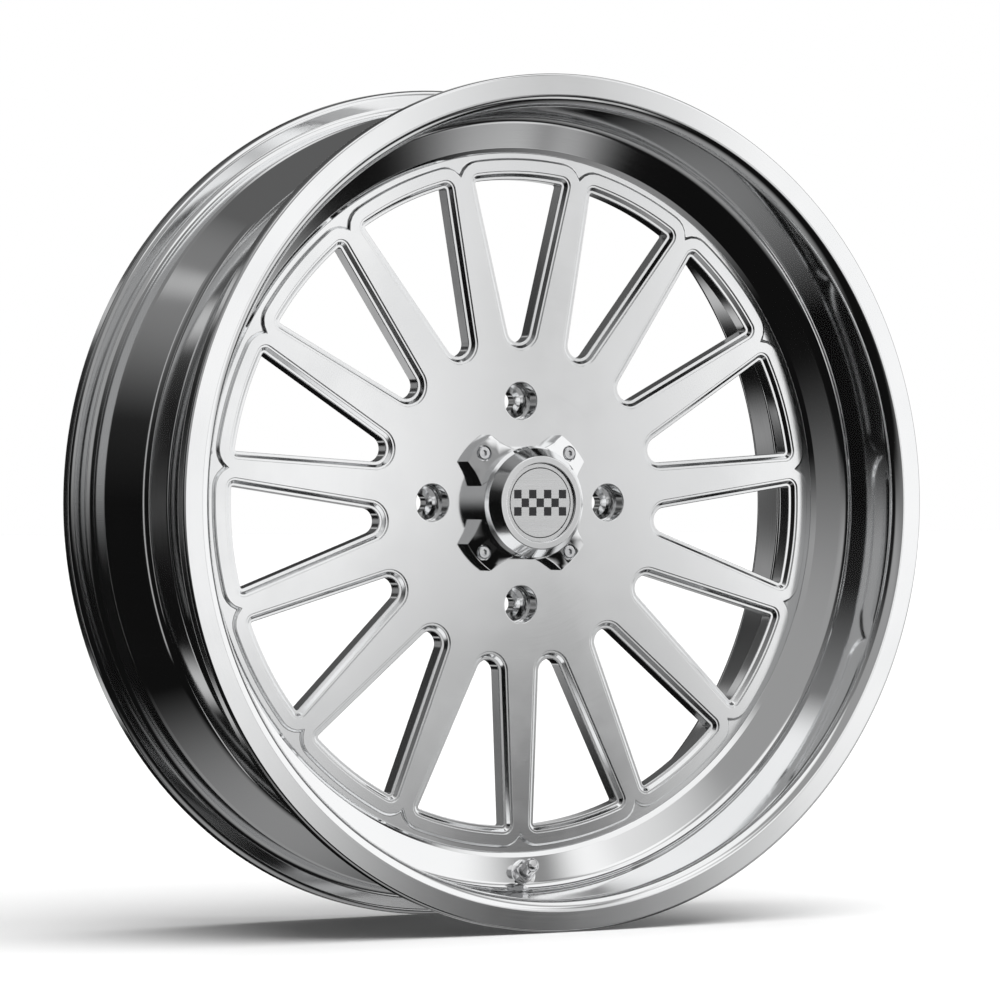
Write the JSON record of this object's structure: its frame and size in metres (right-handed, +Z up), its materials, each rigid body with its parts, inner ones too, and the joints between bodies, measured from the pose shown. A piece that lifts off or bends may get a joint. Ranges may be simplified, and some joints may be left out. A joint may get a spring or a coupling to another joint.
{
  "type": "forged racing wheel rim",
  "caption": "Mirror-polished forged wheel rim with tapered straight spokes, a deep stepped lip, a screwed-on round centre cap and a leaning clamp-in metal valve.",
  "frame": {"origin": "on the wheel's axle at half the width between the flanges, which is also the plane of the hub pad", "axes": "+Y along the axle from the outboard face towards the vehicle, +Z up with one window straight up and the valve straight down, +X to the right seen from the outboard side"},
  "size_m": [0.6489, 0.2038, 0.649],
  "materials": {
    "barrel_metal": "mirror polished",
    "disc_metal": "mirror polished",
    "cap_metal": "mirror polished",
    "emblem_metal": "polished with a dark enamelled band",
    "screw_steel": "bright plated",
    "seal_rubber": "matte",
    "valve_metal": "polished",
    "nut_metal": "polished",
    "core_brass": "turned",
    "gasket_red": "matte",
    "spring_steel": "bright drawn wire"
  },
  "bodies": {
    "root": {"rim_barrel": "barrel_metal", "wheel_centre": "disc_metal", "centre_cap": "cap_metal", "cap_emblem": "emblem_metal", "cap_screws": "screw_steel", "cap_o_ring": "seal_rubber", "valve_body": "valve_metal", "valve_grommet": "seal_rubber", "valve_washer": "valve_metal", "valve_nut": "nut_metal", "valve_core_body": "core_brass", "valve_core_gasket": "gasket_red", "valve_core_spring": "spring_steel"},
    "core_pin": {"valve_core_pin": "core_brass", "valve_core_seal": "seal_rubber"},
    "stem_cap": {"valve_cap": "nut_metal", "valve_cap_seal": "seal_rubber"}
  },
  "joints": [
    {"name": "core_pin_press", "type": "slide", "parent": "root", "child": "core_pin", "axis": [0, 0.866, -0.5], "range_m": [0, 0.0012], "stiffness_N_per_m": 1500, "springref_m": -0.0015, "deforming": ["valve_core_spring"]},
    {"name": "stem_cap_off", "type": "slide", "parent": "root", "child": "stem_cap", "axis": [0, -0.866, 0.5], "range_m": [0, 0.012]}
  ]
}
